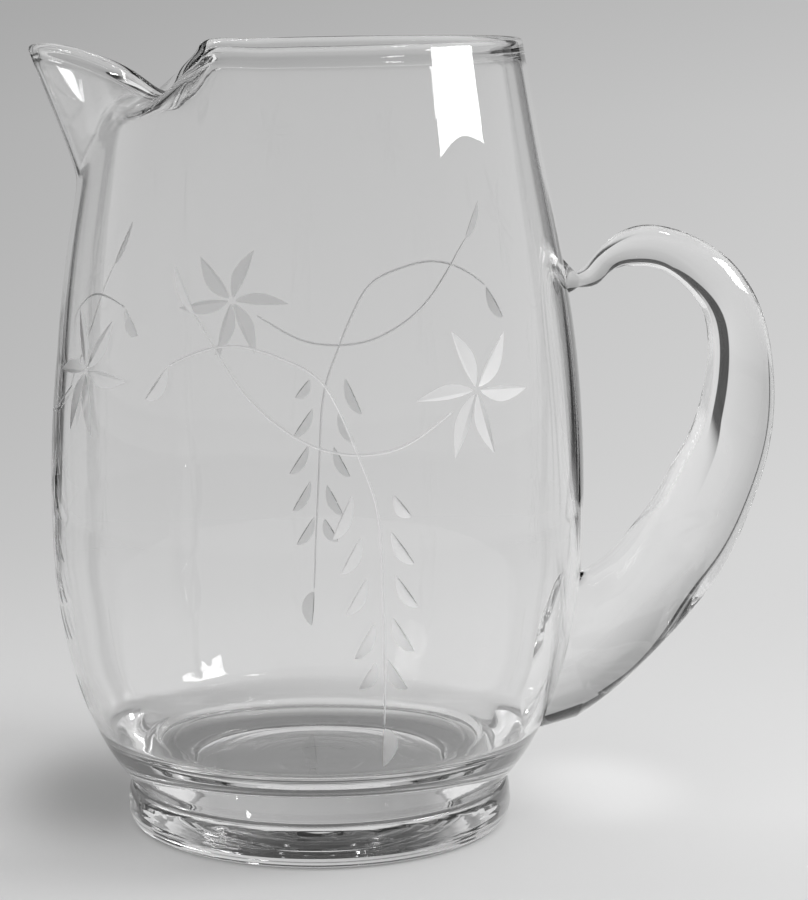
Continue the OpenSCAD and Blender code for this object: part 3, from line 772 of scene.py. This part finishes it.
# Sheet over (across, way): flat in front, then a quarter circle of radius bend, then upright
def makeStage():
    s = stage
    quarter = s["bend"] * math.pi / 2
    way = np.concatenate([
        np.linspace(s["front"], s["flatTo"], s["flatRows"]),
        s["flatTo"] + np.linspace(0, quarter, s["bendRows"])[1:],
        s["flatTo"] + quarter + np.linspace(0, s["wallTop"] - s["bend"], s["wallRows"])[1:]])
    turn = np.clip((way - s["flatTo"]) / s["bend"], 0, math.pi / 2)
    back = np.minimum(way, s["flatTo"]) + s["bend"] * np.sin(turn)
    up = s["bend"] * (1 - np.cos(turn)) + np.maximum(way - s["flatTo"] - quarter, 0)
    n = s["acrossColumns"]
    across = np.linspace(*s["sides"], n)
    grid = np.stack(np.broadcast_arrays(across[None], back[:, None], up[:, None], way[:, None]), -1)
    grid = grid.reshape(-1, 4)
    i = np.arange(len(way) - 1)[:, None] * n + np.arange(n - 1)
    faces = np.stack([i, i + 1, i + n + 1, i + n], -1).reshape(-1, 4)
    mesh = bpy.data.meshes.new("paper")
    mesh.from_pydata(grid[:, :3].tolist(), [], faces.tolist())
    layer = mesh.uv_layers.new(name="way")
    layer.data.foreach_set("uv", grid[faces.ravel()][:, [0, 3]].ravel().astype(np.float32))
    mesh.polygons.foreach_set("use_smooth", np.ones(len(faces), bool))
    mesh.materials.append(paperMaterial())
    paper = bpy.data.objects.new("paper", mesh)
    bpy.context.scene.collection.objects.link(paper)


window = {
    # place to the right, turn of the window's frame, lean of the panes in their plane
    "right": 0.45, "turn": -3, "lean": 9.5, "radiance": 13,
    # low far corner (way back, height), width and height of each pane
    "panes": [(-0.003, 0.270, 0.24, 0.16), (-0.1, 0.95, 0.14, 0.4)],
}


# Pane of a window to the right of the camera, in a plane that faces left. corner is its low far
# corner (way back, height) in the window's frame, and lean turns it in its plane.
def windowPane(name, corner, width, tall, lean, radiance):
    data = bpy.data.lights.new(name, "AREA")
    data.shape, data.size, data.size_y = "RECTANGLE", width, tall
    data.energy = radiance * math.pi * width * tall
    light = bpy.data.objects.new(name, data)
    lean = math.radians(lean)
    middleBack = corner[0] - width / 2 * math.cos(lean) + tall / 2 * math.sin(lean)
    middleUp = corner[1] + width / 2 * math.sin(lean) + tall / 2 * math.cos(lean)
    toRoom = Matrix.Rotation(math.radians(window["turn"]), 4, "Z")
    place = Matrix.Translation((window["right"], middleBack, middleUp))
    facing = Matrix.Rotation(math.pi / 2, 4, "Z") @ Matrix.Rotation(math.pi / 2, 4, "X")
    light.matrix_world = toRoom @ place @ facing @ Matrix.Rotation(-lean, 4, "Z")
    light.visible_camera = False
    bpy.context.scene.collection.objects.link(light)


room = {
    "seen": 0.85, "even": 0.72, "straight": "#C8C8C8",    # for rays from glass, for others, and seen
    "cameraAt": 93,    # azimuth that counts as 0
    # dark places: azimuth from the camera's side towards the handle's, elevation, inner and outer
    # angle, share of light left. The last one is the ceiling.
    "walls": [(149, 12, 8, 11, 0.04), (-149, 12, 8, 12, 0.06), (0, 90, 30, 48, 0.03)],
}


# Room light by direction: pale, with darker walls and ceiling. Rays that have passed or met glass
# see the room, the paper is lit evenly, and the camera itself sees a plain pale grey.
def makeWorld():
    world = bpy.data.worlds.new("studio")
    bpy.context.scene.world = world
    world.use_nodes = True
    tree = world.node_tree
    tree.nodes.clear()
    coords = addNode(tree, "ShaderNodeTexCoord")
    shade = None
    for azimuth, elevation, inner, outer, left in room["walls"]:
        a, e = math.radians(azimuth - room["cameraAt"]), math.radians(elevation)
        toWall = addNode(tree, "ShaderNodeVectorMath", [(coords.outputs["Generated"], 0)],
                         operation="DOT_PRODUCT")
        toWall.inputs[1].default_value = (math.cos(e) * math.cos(a), math.cos(e) * math.sin(a), math.sin(e))
        wall = addNode(tree, "ShaderNodeMapRange", [(toWall.outputs["Value"], "Value")],
                       interpolation_type="SMOOTHSTEP", From_Min=math.cos(math.radians(outer)),
                       From_Max=math.cos(math.radians(inner)), To_Min=1.0, To_Max=left)
        if shade is None:
            shade = wall.outputs["Result"]
        else:
            both = addNode(tree, "ShaderNodeMath", [(shade, 0), (wall.outputs["Result"], 1)],
                           operation="MULTIPLY")
            shade = both.outputs["Value"]
    seenRoom = addNode(tree, "ShaderNodeMath", [(shade, 0)], operation="MULTIPLY")
    seenRoom.inputs[1].default_value = room["seen"]
    rays = addNode(tree, "ShaderNodeLightPath")
    strength = addNode(tree, "ShaderNodeMix",
                       [(metGlass(tree, rays), "Factor"), (seenRoom.outputs["Value"], "B")],
                       data_type="FLOAT", A=room["even"])
    walls = addNode(tree, "ShaderNodeBackground", [(strength.outputs["Result"], "Strength")],
                    Color=toLinear("#FFFFFF"))
    plain = addNode(tree, "ShaderNodeBackground", Color=toLinear(room["straight"]), Strength=1.0)
    mixed = addNode(tree, "ShaderNodeMixShader", [(rays.outputs["Is Camera Ray"], 0), (walls.outputs[0], 1),
                                                 (plain.outputs[0], 2)])
    addNode(tree, "ShaderNodeOutputWorld", [(mixed.outputs[0], "Surface")])


makeStage()
for number, (back, low, width, tall) in enumerate(window["panes"]):
    windowPane("window_pane_" + str(number), (back, low), width, tall, window["lean"], window["radiance"])
makeWorld()

view = {"side": -0.0406, "back": -0.7744, "up": 0.2331, "turn": 4.7475, "down": 9.494, "lens": 76.15}
cameraData = bpy.data.cameras.new("camera")
cameraData.sensor_fit, cameraData.sensor_height, cameraData.lens = "VERTICAL", 24, view["lens"]
camera = bpy.data.objects.new("camera", cameraData)
camera.location = (view["side"], view["back"], view["up"])
camera.rotation_euler = (math.radians(90 - view["down"]), 0, -math.radians(view["turn"]))
bpy.context.scene.collection.objects.link(camera)
bpy.context.scene.camera = camera

scene = bpy.context.scene
scene.view_settings.view_transform = "Standard"
scene.cycles.max_bounces = 24
scene.cycles.transmission_bounces = 24
scene.cycles.glossy_bounces = 16
scene.cycles.transparent_max_bounces = 32

for piece, node in ((bowlPiece, "body"), (footPiece, "foot"), (handlePiece, "handle")):
    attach(piece, "root")
    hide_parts(node)
